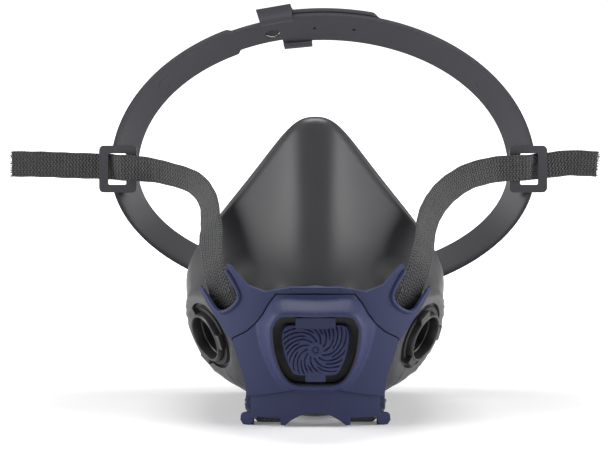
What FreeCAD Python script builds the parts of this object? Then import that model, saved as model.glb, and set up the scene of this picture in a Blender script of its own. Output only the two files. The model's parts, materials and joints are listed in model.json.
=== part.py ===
"""Half-mask respirator with a swinging head harness, in millimetres.

The mask faces -Y, +X is to the viewer's right and +Z is up. The origin is on the middle of the flat
under the chin, where the mask rests on a table.
"""

import FreeCAD, Part
import math
import os

import Sketcher

from FreeCAD import Placement, Rotation, Vector

SIZES = {
    # facepiece, from its front wall back to the sealing edge
    "front_y": -36,
    "wide_y": 22,
    "front_half": 16,
    "cheek_half": 61,
    "nose_front": 63.5,
    "nose_top": 132.6,
    "wall": 3,
    "seal_reach": 46,
    "seam_y": 8,
    # yoke and cover, rolled about one upright axis behind the mask
    "roll_centre": 44,
    "yoke_inside": 86,
    "yoke_outside": 88,
    "cover_inside": 88.3,
    "cover_outside": 90.3,
    "hinge_y": -36,
    "hinge_height": 10.5,
    "hinge_bore": 1.05,
    "hinge_pin": 1.0,
    # exhaust opening in the front, and the valve behind it
    "valve_height": 37,
    "valve_boss": 17.5,
    "valve_bore": 13.5,
    "valve_disc": 11.5,
    "exhaust_front": -56,
    # filter ports, one on each cheek
    "port_x": 46.8,
    "port_y": -13.5,
    "port_height": 37.3,
    "port_yaw": 30,
    "port_tilt": 18,
    "port_boss": 18,
    "port_well": 16.2,
    "port_well_depth": 2.5,
    "port_barrel": 12,
    "port_bore": 10.2,
    "port_throat": 9.8,
    "port_reach": 5.2,
    "port_flap": 9.4,
    # cradle: a conical oval hoop
    "cradle_x": 4,
    "cradle_y": 66,
    "cradle_height": 103,
    "cradle_lean": 8,
    "cradle_half_width": 102.5,
    "cradle_top": 75.5,
    "cradle_bottom": 63,
    "cradle_depth": 11,
    "cradle_cone": 12,
    "cradle_skin": 1.6,
    "loop_plate": 2,
    # elastic webbing
    "web_width": 12.4,
    "web_thickness": 1.2,
    "neck_half": 26.5,
    "neck_back": 75,
    # neck clasp, standing on edge
    "clasp_low": 0.2,
    "clasp_high": 15.4,
    "clasp_plate": 2.4,
}

DOC = FreeCAD.newDocument("respirator")


def make_sheet():
    sheet = DOC.addObject("Spreadsheet::Sheet", "sizes")
    for row, (alias, value) in enumerate(SIZES.items(), start=1):
        sheet.set(f"A{row}", alias)
        sheet.set(f"B{row}", str(value))
        sheet.setAlias(f"B{row}", alias)
    DOC.recompute()
    return sheet


SHEET = make_sheet()


def size(alias):
    return float(SHEET.get(alias))


def cell(text):
    """An expression on the sheet: each word that is an alias points at its cell."""
    words = text.split()
    return " ".join(f"<<sizes>>.{word}" if word in SIZES else word for word in words)


def worth(text):
    """What an expression is worth now."""
    return float(SHEET.evalExpression(cell(text)))


# ---- ways to build a body ----


def new_body(label, placement=None):
    body = DOC.addObject("PartDesign::Body", label)
    body.Label = label
    if placement:
        body.Placement = placement
    return body


def sketch(body, plane, offset="0"):
    """An empty sketch on one of the body's own planes, moved along its normal by an expression."""
    found = body.newObject("Sketcher::SketchObject", f"{body.Name}_sketch")
    planes = {feature.Role: feature for feature in body.Origin.OriginFeatures}
    found.AttachmentSupport = [(planes[plane], "")]
    found.MapMode = "FlatFace"
    found.setExpression("AttachmentOffset.Base.z", cell(offset))
    return found


def circle(target, radius, place=(0, 0)):
    """A circle whose radius is bound to an expression."""
    centre = Vector(place[0], place[1], 0)
    index = target.addGeometry(Part.Circle(centre, Vector(0, 0, 1), worth(radius)), False)
    held = target.addConstraint(Sketcher.Constraint("Radius", index, worth(radius)))
    target.setExpression(f"Constraints[{held}]", cell(radius))


def loop(target, points):
    """A closed outline of straight runs."""
    corners = [Vector(x, y, 0) for x, y in points]
    for here, there in zip(corners, corners[1:] + corners[:1]):
        target.addGeometry(Part.LineSegment(here, there), False)


def smooth_loop(target, points):
    """A closed outline through points, smooth all the way round."""
    curve = Part.BSplineCurve()
    curve.interpolate([Vector(x, y, 0) for x, y in points], PeriodicFlag=True)
    target.addGeometry(curve, False)


def pad(body, profile, length, reverse=False, midplane=False):
    feature = body.newObject("PartDesign::Pad", f"{body.Name}_pad")
    feature.Profile = profile
    feature.setExpression("Length", cell(length))
    feature.Reversed = reverse
    feature.SideType = "Symmetric" if midplane else "One side"
    DOC.recompute()
    return feature


def cut_through(body, profile):
    """A pocket right through, both ways, that must take material away."""
    before = body.Shape.Volume
    feature = body.newObject("PartDesign::Pocket", f"{body.Name}_pocket")
    feature.Profile = profile
    feature.Type = "ThroughAll"
    feature.SideType = "Symmetric"
    DOC.recompute()
    if not body.Shape.Volume < before:
        raise ValueError(f"a pocket in {body.Label} cuts nothing")


def ring(label, placement, outer, inner, start, depth):
    """A flat ring about the placement's Z axis, from start to start + depth."""
    body = new_body(label, placement)
    profile = sketch(body, "XY_Plane", start)
    circle(profile, outer)
    if inner:
        circle(profile, inner)
    pad(body, profile, depth)
    return body


def add_ring(body, outer, inner, start, depth):
    profile = sketch(body, "XY_Plane", start)
    circle(profile, outer)
    circle(profile, inner)
    pad(body, profile, depth)


def mirrored(points):
    """The right half of an outline, top to bottom, and its mirror image back up."""
    return points + [(-x, z) for x, z in reversed(points) if x > 0]


# ---- facepiece ----


def facepiece_loop(y, inset=0.0):
    """The facepiece's outline in the upright plane at y, pulled in by inset."""
    front, wide = size("front_y"), size("wide_y")
    share = min((y - front) / (wide - front), 1.0)
    past = max(y - wide, 0.0)
    swell = math.sqrt(max(1 - (1 - share) ** 2, 0.0))
    half = size("front_half") + (size("cheek_half") - size("front_half")) * swell - past**2 / 160
    top = size("nose_front") + (size("nose_top") - size("nose_front")) * (y - front) / (wide - front)
    top = min(top, size("nose_top") + past * 0.2)
    bottom = -1.4 + 15.4 * (1 - share) ** 3
    middle = 40 + 14 * share
    valley_x = min(20 + 25 * share, half * 0.92)
    valley_z = 60 + 25 * share
    out = half - valley_x
    drop = valley_z - middle
    side = [
        (0.235 * valley_x, top - 0.07 * (top - valley_z)),
        (0.59 * valley_x, top - 0.53 * (top - valley_z)),
        (valley_x, valley_z),
        (valley_x + 0.55 * out, valley_z - 0.33 * drop),
        (valley_x + 0.88 * out, valley_z - 0.66 * drop),
    ]
    for step in range(4):
        turn = math.pi / 8 * step
        side.append((half * math.cos(turn), middle - (middle - bottom) * math.sin(turn)))
    points = mirrored([(0, top)] + side + [(0, bottom)])
    pulled = []
    for x, z in points:
        reach = math.hypot(x, z - middle)
        keep = 1 - inset / reach
        pulled.append((x * keep, middle + (z - middle) * keep))
    return pulled


def facepiece_skin(name, stations, inset):
    body = new_body(name)
    profiles = []
    for y in stations:
        profile = sketch(body, "XZ_Plane", str(-y))
        smooth_loop(profile, facepiece_loop(y, inset))
        profiles.append(profile)
    loft = body.newObject("PartDesign::AdditiveLoft", f"{name}_loft")
    loft.Profile = profiles[0]
    loft.Sections = profiles[1:]
    DOC.recompute()
    return body.Shape.copy()


def side_profile():
    """The space in front of the sealing edge and above the table, as a block across the mask."""
    low_back = Vector(0, 36, 0)
    cheek_back = Vector(0, size("seal_reach"), 55)
    nose_back = Vector(0, 27, 134)
    edge = Part.Arc(low_back, cheek_back, nose_back).toShape()
    corners = [nose_back, Vector(0, -60, 134), Vector(0, -60, 0), low_back]
    runs = [Part.LineSegment(a, b).toShape() for a, b in zip(corners, corners[1:])]
    face = Part.Face(Part.Wire([edge] + runs))
    face.translate(Vector(-80, 0, 0))
    return face.extrude(Vector(160, 0, 0))


def port_frame(side):
    """Where a filter port sits: Z points out of the port, away from the cheek."""
    yaw, tilt = math.radians(size("port_yaw")), math.radians(size("port_tilt"))
    out = Vector(
        side * math.cos(tilt) * math.cos(yaw), -math.cos(tilt) * math.sin(yaw), -math.sin(tilt)
    )
    level = Vector(0, 0, 1).cross(out)
    centre = Vector(side * size("port_x"), size("port_y"), size("port_height"))
    return Placement(centre, Rotation(level, Vector(), out, "ZXY"))


def valve_frame():
    """Where the exhalation valve sits: Z points out of the mask."""
    turn = Rotation(Vector(1, 0, 0), Vector(0, 0, 1), Vector(0, -1, 0), "ZXY")
    return Placement(Vector(0, size("front_y"), size("valve_height")), turn)


def tube(frame, radius, start, end):
    """A plain cylinder about a frame's Z axis."""
    piece = Part.makeCylinder(radius, end - start, Vector(0, 0, start))
    piece.Placement = frame
    return piece


def facepiece():
    """The front that carries the valves, and the soft seal moulded on to it behind the seam."""
    outside = facepiece_skin("facepiece_outside", (-36, -30, -20, -6, 10, 22, 36, 52), 0)
    inside = facepiece_skin("facepiece_inside", (-32.8, -27, -17, -3, 12, 24, 36, 53), size("wall"))
    skin = outside.cut(inside)
    ports = [port_frame(-1), port_frame(1)]
    for frame in ports:
        skin = skin.fuse(tube(frame, size("port_boss"), -6, size("port_well_depth")))
    skin = skin.fuse(tube(valve_frame(), size("valve_boss"), -5, 2.5))
    for frame in ports:
        skin = skin.cut(tube(frame, size("port_well"), 0, 30))
        skin = skin.cut(tube(frame, size("port_boss") + 1, -30, -6))
        skin = skin.cut(tube(frame, size("port_barrel"), -30, 30))
    skin = skin.cut(tube(valve_frame(), size("valve_bore"), -20, 20))
    skin = skin.common(side_profile()).removeSplitter()
    ahead = Part.makeBox(300, 200, 300, Vector(-150, size("seam_y") - 200, -50))
    halves = {"facepiece": skin.common(ahead), "face_seal": skin.cut(ahead)}
    pieces = []
    for label, half in halves.items():
        piece = DOC.addObject("Part::Feature", label)
        piece.Label = label
        piece.Shape = max(half.Solids, key=lambda solid: solid.Volume)
        pieces.append(piece)
    return pieces


# ---- filter ports ----


def port_insert(label, frame):
    """The bayonet ring: a barrel through the cheek, clamped by two flanges, with three lugs."""
    body = ring(label, frame, "port_barrel - 0.05", "port_bore", "0.1", "port_reach - 0.1")
    add_ring(body, "port_barrel - 0.05", "port_throat", "-7.5", "7.6")
    add_ring(body, "port_barrel + 2.5", "port_barrel - 1", "-7.5", "1.4")
    add_ring(body, "port_barrel + 2.6", "port_barrel - 1", "0.1", "1.1")
    lug = sketch(body, "XY_Plane", "port_reach - 2.5")
    inner, outer, half = size("port_barrel") - 0.8, size("port_barrel") + 2.6, 3.6
    loop(lug, [(inner, -half), (outer, -half), (outer, half), (inner, half)])
    first = pad(body, lug, "2.2")
    pattern = body.newObject("PartDesign::PolarPattern", f"{label}_lugs")
    pattern.Originals = [first]
    pattern.Axis = (lug, ["N_Axis"])
    pattern.Angle = 360
    pattern.Occurrences = 3
    body.Tip = pattern
    DOC.recompute()
    return body


def valve_spider(label, frame, rim, start, depth, arms):
    """A valve seat: a rim, a hub and the arms between them."""
    body = ring(label, frame, rim, f"{rim} - 1.6", start, depth)
    add_hub = sketch(body, "XY_Plane", start)
    circle(add_hub, "2.4")
    pad(body, add_hub, depth)
    arm = sketch(body, "XY_Plane", start)
    reach = worth(rim) - 0.8
    loop(arm, [(1, -0.9), (reach, -0.9), (reach, 0.9), (1, 0.9)])
    first = pad(body, arm, depth)
    pattern = body.newObject("PartDesign::PolarPattern", f"{label}_arms")
    pattern.Originals = [first]
    pattern.Axis = (arm, ["N_Axis"])
    pattern.Angle = 360
    pattern.Occurrences = arms
    body.Tip = pattern
    DOC.recompute()
    return body


def filter_port(side, word):
    frame = port_frame(side)
    return [
        port_insert(f"{word}_port_insert", frame),
        ring(f"{word}_port_gasket", frame, "port_barrel + 2.4", "port_barrel + 0.3", "1.3", "0.9"),
        valve_spider(f"{word}_inhalation_seat", frame, "port_throat - 0.05", "-4.6", "1.4", 3),
        ring(f"{word}_inhalation_flap", frame, "port_flap", None, "-5.5", "0.7"),
    ]


# ---- exhalation valve ----


def exhalation_valve():
    frame = valve_frame()
    seat = valve_spider("exhalation_seat", frame, "valve_bore - 0.05", "-5.4", "8", 4)
    add_ring(seat, "valve_bore + 2.5", "valve_bore - 1.5", "2.6", "1")
    flap = ring("exhalation_flap", frame, "valve_disc", None, "3.8", "0.8")
    return [seat, flap]


# ---- yoke and front cover ----


def front_frame():
    return Placement(Vector(0, size("roll_centre"), 0), Rotation())


def rolled_strip(body, inside, outside, low, high, sweep):
    """A strip of cylinder about the roll axis, facing forward."""
    profile = sketch(body, "YZ_Plane")
    inner, outer = worth(inside), worth(outside)
    loop(profile, [(-outer, low), (-inner, low), (-inner, high), (-outer, high)])
    turned = body.newObject("PartDesign::Revolution", f"{body.Name}_roll")
    turned.Profile = profile
    turned.ReferenceAxis = (profile, ["V_Axis"])
    turned.Angle = sweep
    turned.Midplane = True
    DOC.recompute()


def trim_to(body, outline):
    """Cut away all that lies outside an outline seen from the front."""
    waste = sketch(body, "XZ_Plane")
    loop(waste, [(-90, -20), (90, -20), (90, 100), (-90, 100)])
    loop(waste, outline)
    cut_through(body, waste)


def yoke_outline():
    """Half the yoke from the front: brow, inner horn, strap notch, outer horn, flank and foot."""
    return mirrored([
        (0, 64.4), (11, 64.4), (22.9, 62), (30.5, 64.5), (38.2, 73), (40.2, 73.2), (40.6, 71),
        (35, 61.5), (34.6, 59.5), (39, 53.6), (42.2, 51.8), (45, 52.4), (51.3, 61.5), (52.8, 61),
        (49, 54.2), (45, 48.4), (38.2, 38.6), (35.6, 31), (33.6, 25), (31.4, 20.4), (29.7, 19.6),
        (29.7, 5.2), (33, 4.4), (33, 0), (28.3, 0), (28.3, 4.2), (16, 4.2), (16, 0.8), (13.6, 0.8),
        (7.5, 5.4), (0, 6.8),
    ])


def yoke():
    body = new_body("yoke", front_frame())
    rolled_strip(body, "yoke_inside", "yoke_outside", -1, 75, 100)
    trim_to(body, yoke_outline())
    back = size("roll_centre")
    lip = sketch(body, "XZ_Plane", f"{back + 37.5}")
    loop(lip, [(-22, 61), (22, 61), (22, 62.4), (11, 64.4), (-11, 64.4), (-22, 62.4)])
    pad(body, lip, "5")
    for side in (-1, 1):
        flange = sketch(body, "XZ_Plane", f"{back + 31}")
        inner, outer = side * 27.9, side * 29.7
        loop(flange, [(inner, 0), (outer, 0), (outer, 14), (inner, 14)])
        pad(body, flange, "7")
    collar = sketch(body, "XZ_Plane", f"{back + 36.6}")
    circle(collar, "valve_boss + 2.4", (0, size("valve_height")))
    pad(body, collar, "5.3")
    window = sketch(body, "XZ_Plane")
    circle(window, "valve_boss + 0.4", (0, size("valve_height")))
    cut_through(body, window)
    pins = sketch(body, "YZ_Plane")
    circle(pins, "hinge_bore", (size("hinge_y") - back, size("hinge_height")))
    cut_through(body, pins)
    return body


def cover_outline():
    """Half the cover from the front: top edge, swept shoulder, corner, flank and lower seam."""
    return mirrored([
        (0, 61.4), (17.5, 61.2), (20.9, 56.8), (23.6, 51.9), (27, 47.2), (31.2, 43.3), (37.4, 39.9),
        (37.6, 38.5), (35, 31), (33, 25), (31.6, 19.5), (31.5, 14.2), (28.6, 14.2), (20, 15.6),
        (11, 17.3), (0, 17.9),
    ])


def bezel(grow, top, bottom):
    """The exhaust opening: a rounded shape, wide above and narrow below, grown by a margin."""
    return mirrored([
        (0, top + grow), (13.5 + grow / 2, top + grow), (17.8 + grow, top - 4 + grow / 2),
        (19.4 + grow, top - 11), (18 + grow, top - 20), (14.5 + grow, bottom + 6),
        (10 + grow / 2, bottom + 1 - grow), (6.5, bottom - grow), (0, bottom - grow),
    ])


def front_cover():
    body = new_body("front_cover", front_frame())
    rolled_strip(body, "cover_inside", "cover_outside", 5, 70, 90)
    trim_to(body, cover_outline())
    back = size("roll_centre")
    skirt = sketch(body, "XZ_Plane", f"{back + 42.6}")
    loop(skirt, bezel(4.5, 52, 20.5))
    brim = sketch(body, "XZ_Plane", f"{back} - exhaust_front")
    loop(brim, bezel(2.2, 52, 23))
    hood = body.newObject("PartDesign::AdditiveLoft", "hood")
    hood.Profile = skirt
    hood.Sections = [brim]
    DOC.recompute()
    opening = sketch(body, "XZ_Plane")
    loop(opening, bezel(0, 51.5, 24))
    cut_through(body, opening)
    hollow = sketch(body, "XY_Plane")
    circle(hollow, "cover_inside")
    cut_through(body, hollow)
    for side in (-1, 1):
        ear = sketch(body, "YZ_Plane", str(side * 30.7))
        front, rear = -40.4 - back, -33.4 - back
        loop(ear, [(front, 8), (rear, 8), (rear, 13.4), (front + 3, 19), (front, 19)])
        pad(body, ear, "1.5", midplane=True)
    pins = sketch(body, "YZ_Plane")
    circle(pins, "hinge_bore", (size("hinge_y") - back, size("hinge_height")))
    cut_through(body, pins)
    return body


def exhaust_shield():
    """The plate that guards the valve, with a tab above and below that snap under the bezel."""
    body = new_body("exhaust_shield", Placement())
    plate = sketch(body, "XZ_Plane", "49.6")
    loop(plate, mirrored([(0, 48.4), (12.5, 48.4), (15.2, 45), (14.6, 38), (10.4, 28), (8, 26.2), (0, 26.2)]))
    pad(body, plate, "1.8")
    tabs = sketch(body, "XZ_Plane", "49.6")
    loop(tabs, [(-9, 47), (9, 47), (9, 51.35), (-9, 51.35)])
    pad(body, tabs, "1.2")
    foot = sketch(body, "XZ_Plane", "49.6")
    loop(foot, [(-4.6, 24.15), (4.6, 24.15), (4.6, 28), (-4.6, 28)])
    pad(body, foot, "1.2")
    return body


def hinge_pins():
    """Two short pins that the cover's ears turn on, one at each end of the chin bar."""
    pins = []
    for side in (-1, 1):
        pin = DOC.addObject("Part::Cylinder", "hinge_pin")
        pin.setExpression("Radius", cell("hinge_pin"))
        pin.Height = 5.4
        start = 26.8 if side > 0 else -32.2
        turn = Rotation(Vector(0, 0, 1), Vector(1, 0, 0))
        pin.Placement = Placement(Vector(start, size("hinge_y"), size("hinge_height")), turn)
        pins.append(pin)
    both = DOC.addObject("Part::Compound", "hinge_pins")
    both.Links = pins
    both.Label = "hinge_pins"
    return both


# ---- cradle ----


def cradle_frame():
    turn = Rotation(Vector(1, 0, 0), -size("cradle_lean"))
    centre = Vector(size("cradle_x"), size("cradle_y"), size("cradle_height"))
    return Placement(centre, turn)


def oval(target, shrink):
    """Half an ellipse above the middle and a flatter one below it."""
    wide = size("cradle_half_width") - shrink
    for height, start in (("cradle_top", 0), ("cradle_bottom", math.pi)):
        whole = Part.Ellipse(Vector(), wide, size(height) - shrink)
        target.addGeometry(Part.ArcOfEllipse(whole, start, start + math.pi), False)


def hoop(body, shrink, kind):
    """A conical oval, wide in front and narrow behind, added to the body or taken from it."""
    half = size("cradle_depth") / 2
    over = 0 if kind == "AdditiveLoft" else 0.5
    slope = size("cradle_cone") / size("cradle_depth")
    front = sketch(body, "XZ_Plane", str(half + over))
    oval(front, shrink - over * slope)
    rear = sketch(body, "XZ_Plane", str(-half - over))
    oval(rear, shrink + size("cradle_cone") + over * slope)
    loft = body.newObject(f"PartDesign::{kind}", f"{body.Name}_{kind}")
    loft.Profile = front
    loft.Sections = [rear]
    DOC.recompute()


def cradle_band():
    """The crown hoop with a strap loop at each side."""
    body = new_body("cradle_band", cradle_frame())
    hoop(body, 0, "AdditiveLoft")
    hoop(body, size("cradle_skin"), "SubtractiveLoft")
    front = size("cradle_depth") / 2
    for side in (-1, 1):
        plate = sketch(body, "XZ_Plane", str(front - size("loop_plate")))
        loop(plate, [(side * 90, -11.2), (side * 107.6, -11.2), (side * 107.6, 11.2), (side * 90, 11.2)])
        pad(body, plate, "loop_plate")
        slot = sketch(body, "XZ_Plane")
        loop(slot, [(side * 94.4, -7.4), (side * 103.4, -7.4), (side * 103.4, 7.4), (side * 94.4, 7.4)])
        cut_through(body, slot)
    return body


def cradle_tongue():
    """The tapered end of the hoop, lying over the other end."""
    body = new_body("cradle_tongue", cradle_frame())
    hoop(body, -1.9, "AdditiveLoft")
    hoop(body, -0.3, "SubtractiveLoft")
    waste = sketch(body, "XZ_Plane")
    loop(waste, [(-130, -100), (130, -100), (130, 100), (28, 100), (28, 40), (-17, 40), (-17, 100), (-130, 100)])
    cut_through(body, waste)
    narrow = sketch(body, "YZ_Plane")
    loop(narrow, [(-8, 80), (-8, 50), (-3.2, 50), (-3.2, 80)])
    cut_through(body, narrow)
    return body


# ---- webbing ----


def ribbon(label, stations):
    """Webbing through stations: each is a place and the way its width lies."""
    half_width, half_thick = size("web_width") / 2, size("web_thickness") / 2
    frames = []
    for index, (place, across) in enumerate(stations):
        before = Vector(*stations[max(index - 1, 0)][0])
        after = Vector(*stations[min(index + 1, len(stations) - 1)][0])
        along = (after - before).normalize()
        wide = Vector(*across)
        wide = (wide - along * wide.dot(along)).normalize()
        face = along.cross(wide)
        w, n, c = wide * half_width, face * half_thick, Vector(*place)
        frames.append(Part.makePolygon([c - w - n, c + w - n, c + w + n, c - w + n, c - w - n]))
    piece = DOC.addObject("Part::Feature", label)
    piece.Label = label
    piece.Shape = Part.makeLoft(frames, True, True)
    return piece


def behind_yoke(side, x, z, back=1.4):
    """A place in the gap behind the yoke's skin."""
    radius = size("yoke_inside") - back
    return (side * x, size("roll_centre") - math.sqrt(radius**2 - x**2), z)


def neck_strap(side, word):
    """From the notch, down behind the yoke, out under the chin and back along the table."""
    out = (side, 0.45, -0.3)
    level = (side, 0, 0)
    neck, back = size("neck_half"), size("neck_back")
    stations = [
        (behind_yoke(side, 42.6, 58), out),
        (behind_yoke(side, 39.2, 51), out),
        (behind_yoke(side, 31, 36), (side, 0.4, -0.3)),
        (behind_yoke(side, 23.6, 22.5), (side, 0.3, -0.3)),
        (behind_yoke(side, 20, 14), (side, 0.2, -0.1)),
        (behind_yoke(side, 19.8, 7), (side, 0.24, 0)),
        (behind_yoke(side, 20, 3.4, 2.8), level),
        ((side * 20.4, -33.4, 0.9), level),
        ((side * 21, -29.5, 0.8), level),
        ((side * 24, -18, 0.7), level),
        ((side * neck, 0, 0.7), level),
        ((side * neck, 40, 0.7), level),
        ((side * (neck + 1), 56, 4.8), (side, 0, 0.8)),
        ((side * (neck + 1.5), back, 6.4), (side * 0.15, 0, 1)),
    ]
    reach = neck + 1.5
    slot = 9.6
    middle = (size("clasp_low") + size("clasp_high")) / 2
    for degrees, height in ((26, 6.5), (52, 7.2)):
        turn = math.radians(degrees)
        place = (side * reach * math.cos(turn), back + reach * math.sin(turn), height)
        stations.append((place, (0, 0, 1)))
    for x, behind in ((slot + 2.8, -3.4), (slot + 0.3, -1.8), (slot, 0.6)):
        stations.append(((side * x, back + reach + behind, middle), (0, 0, 1)))
    return ribbon(f"{word}_neck_strap", stations)


def left_head_strap():
    """Up from the left notch, turned on edge beside the nose, and out through the cradle's loop."""
    return ribbon("left_head_strap", [
        ((-43.4, -28.0, 61), (-1, 0.5, -0.62)),
        ((-46.6, -22, 70), (-1, 0.6, -0.8)),
        ((-47.9, -10, 79.6), (-0.62, 0.77, 0)),
        ((-48.6, 4, 86.2), (-0.44, 0.88, 0)),
        ((-50, 20, 93.2), (-0.42, 0.85, -0.1)),
        ((-53.8, 33, 98), (-0.49, 0.84, -0.35)),
        ((-59.5, 43, 100.6), (-0.45, 0.7, -0.55)),
        ((-67, 50, 102.2), (-0.3, 0.5, -0.8)),
        ((-78, 56, 103.9), (0, 0.25, -1)),
        ((-89, 58.6, 104.5), (0, 0, -1)),
        ((-94, 60.4, 104.5), (0, 0, -1)),
        ((-99, 64.0, 104.5), (0, 0, -1)),
        ((-105, 64.8, 104.6), (0, 0, -1)),
        ((-118, 66, 104.8), (0, 0, -1)),
        ((-132, 67, 105.2), (0, 0, -1)),
        ((-146, 67.5, 105.3), (0, 0, -1)),
    ])


def right_head_strap():
    """Up from the right notch in a long lean and out through the cradle's loop."""
    return ribbon("right_head_strap", [
        ((43.4, -28.0, 61), (1, 0.5, -0.62)),
        ((47.4, -23, 70), (1, 0.5, -0.8)),
        ((50.0, -12, 77.8), (0.7, 0.4, -0.6)),
        ((51.4, 2, 84.6), (0.7, 0.45, -0.6)),
        ((54, 15, 89.6), (0.7, 0.4, -0.62)),
        ((59, 27, 95), (0.68, 0.3, -0.66)),
        ((65.5, 38, 99), (0.6, 0.2, -0.75)),
        ((74, 47, 102.4), (0.4, 0.1, -0.9)),
        ((86, 55.5, 104.2), (0.2, 0, -1)),
        ((96.4, 58.6, 104.5), (0, 0, -1)),
        ((102, 60.2, 104.5), (0, 0, -1)),
        ((107, 64.0, 104.6), (0, 0, -1)),
        ((113, 64.8, 105.1), (0, 0, -1)),
        ((123, 66, 106), (0, 0, -1)),
        ((136, 67, 105.3), (0, 0, -1)),
    ])


def clasp(label, x_near, x_far, tongue):
    """Half of the neck clasp, standing on edge: a frame with a webbing slot, and a hook or an eye."""
    body = new_body(label, Placement())
    rear = size("neck_back") + size("neck_half") + 1.5
    low, high = size("clasp_low"), size("clasp_high")
    plate = sketch(body, "XZ_Plane", str(-rear))
    loop(plate, [(x_near, low), (x_far, low), (x_far, high), (x_near, high)])
    pad(body, plate, "clasp_plate", midplane=True)
    inward = 1 if x_near > x_far else -1
    slot = sketch(body, "XZ_Plane")
    start, end = x_far + inward * 1.6, x_far + inward * 5.2
    loop(slot, [(start, low + 1), (end, low + 1), (end, high - 1), (start, high - 1)])
    cut_through(body, slot)
    if tongue:
        hook = sketch(body, "XZ_Plane", str(-rear - 1.4))
        reach = x_near + inward * 5.4
        loop(hook, [(x_near - inward * 2, 4), (reach, 4), (reach, 11.6), (x_near - inward * 2, 11.6)])
        pad(body, hook, "1.8", reverse=True)
        shank = sketch(body, "XZ_Plane", str(-rear - 1.6))
        loop(shank, [(x_near - inward * 2, 4), (x_near, 4), (x_near, 11.6), (x_near - inward * 2, 11.6)])
        pad(body, shank, "2")
    else:
        eye = sketch(body, "XZ_Plane")
        near, far = x_near - inward * 1.8, x_near - inward * 5.4
        loop(eye, [(near, 3), (far, 3), (far, 12.6), (near, 12.6)])
        cut_through(body, eye)
    return body


# ---- assembly ----


def build():
    pieces = facepiece() + [yoke(), front_cover(), exhaust_shield(), hinge_pins()]
    pieces += exhalation_valve()
    pieces += filter_port(-1, "left") + filter_port(1, "right")
    pieces += [cradle_band(), cradle_tongue()]
    pieces += [left_head_strap(), right_head_strap()]
    pieces += [neck_strap(-1, "left"), neck_strap(1, "right")]
    pieces += [clasp("neck_clasp_eye", -0.2, -13, False), clasp("neck_clasp_hook", 0.2, 13, True)]
    DOC.recompute()
    return pieces


def check(pieces):
    for thing in DOC.Objects:
        if "Invalid" in thing.State or "Error" in thing.State:
            raise ValueError(f"{thing.Label} failed to build: {thing.State}")
    for piece in pieces:
        if piece.Shape.isNull() or not piece.Shape.isValid():
            raise ValueError(f"{piece.Label} has no valid shape")


def write(pieces):
    os.makedirs("parts", exist_ok=True)
    for piece in pieces:
        piece.Shape.exportStep(os.path.join("parts", f"{piece.Label}.step"))
        box = piece.Shape.BoundBox
        print(f"{piece.Label}: {len(piece.Shape.Solids)} solid, {piece.Shape.Volume:.0f} mm3,",
              f"x {box.XMin:.1f} {box.XMax:.1f} y {box.YMin:.1f} {box.YMax:.1f} z {box.ZMin:.1f} {box.ZMax:.1f}")


PIECES = build()
check(PIECES)
write(PIECES)
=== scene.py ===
import json
import math
import random

import bmesh
import bpy
from bpy.props import FloatProperty, FloatVectorProperty, PointerProperty
from mathutils import Matrix, Vector


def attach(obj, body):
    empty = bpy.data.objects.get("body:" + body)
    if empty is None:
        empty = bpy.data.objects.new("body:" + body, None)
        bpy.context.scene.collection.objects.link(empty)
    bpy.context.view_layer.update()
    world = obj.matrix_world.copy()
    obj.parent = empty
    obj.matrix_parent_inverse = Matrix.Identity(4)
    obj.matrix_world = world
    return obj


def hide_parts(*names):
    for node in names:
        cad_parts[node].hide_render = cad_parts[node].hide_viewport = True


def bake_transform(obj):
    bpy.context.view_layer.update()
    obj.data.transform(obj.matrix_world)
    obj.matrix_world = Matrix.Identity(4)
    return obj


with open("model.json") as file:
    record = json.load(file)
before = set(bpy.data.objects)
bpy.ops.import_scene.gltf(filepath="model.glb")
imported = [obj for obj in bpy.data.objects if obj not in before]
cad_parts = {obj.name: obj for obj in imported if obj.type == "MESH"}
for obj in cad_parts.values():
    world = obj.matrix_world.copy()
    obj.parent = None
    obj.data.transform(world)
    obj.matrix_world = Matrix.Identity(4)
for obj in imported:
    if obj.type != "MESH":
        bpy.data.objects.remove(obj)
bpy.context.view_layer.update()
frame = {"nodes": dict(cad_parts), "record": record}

bl_info = {
    "name": "Half-mask respirator",
    "version": (1, 0, 0),
    "blender": (4, 5, 0),
    "location": "3D View > Sidebar > Respirator",
    "description": "Builds a half-mask respirator and its head harness piece by piece",
    "category": "Add Mesh",
}

MM = 0.001
FULL = 2 * math.pi


# ---- sizes and colours ----


def length(name, words, default):
    return FloatProperty(name=name, description=words, default=default, unit="LENGTH", precision=5)


def colour(name, words, default):
    return FloatVectorProperty(name=name, description=words, default=default, size=3, subtype="COLOR")


class RespiratorSizes(bpy.types.PropertyGroup):
    """Sizes that shape the mask and its harness"""

    web_width: length("Webbing width", "Width of the elastic webbing", 0.0125)
    web_thickness: length("Webbing thickness", "Thickness of the elastic webbing", 0.0013)
    wall: length("Facepiece wall", "Thickness of the soft facepiece", 0.0026)
    lip: length("Seal lip", "How far the sealing lip turns inward", 0.009)
    hood_top: length("Hood height, top", "How far the exhaust hood stands out above", 0.0108)
    hood_bottom: length("Hood height, bottom", "How far the exhaust hood stands out below", 0.0042)
    groove: length("Swirl groove depth", "Depth of the shield's spiral grooves", 0.0007)


class RespiratorColours(bpy.types.PropertyGroup):
    """Colours of the mask's materials"""

    rubber: colour("Facepiece", "Soft grey facepiece", (0.032, 0.032, 0.035))
    plastic: colour("Yoke", "Navy blue moulded plastic", (0.022, 0.027, 0.080))
    black: colour("Ports", "Black moulded plastic", (0.012, 0.012, 0.013))
    band: colour("Cradle", "Dark grey cradle plastic", (0.040, 0.040, 0.047))
    web: colour("Webbing", "Black knitted elastic", (0.026, 0.026, 0.027))
    silicone: colour("Valve flaps", "Grey silicone discs", (0.045, 0.045, 0.048))
    steel: colour("Pins", "Steel hinge pins", (0.50, 0.50, 0.52))


def sizes():
    return bpy.context.scene.respirator_sizes


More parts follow.
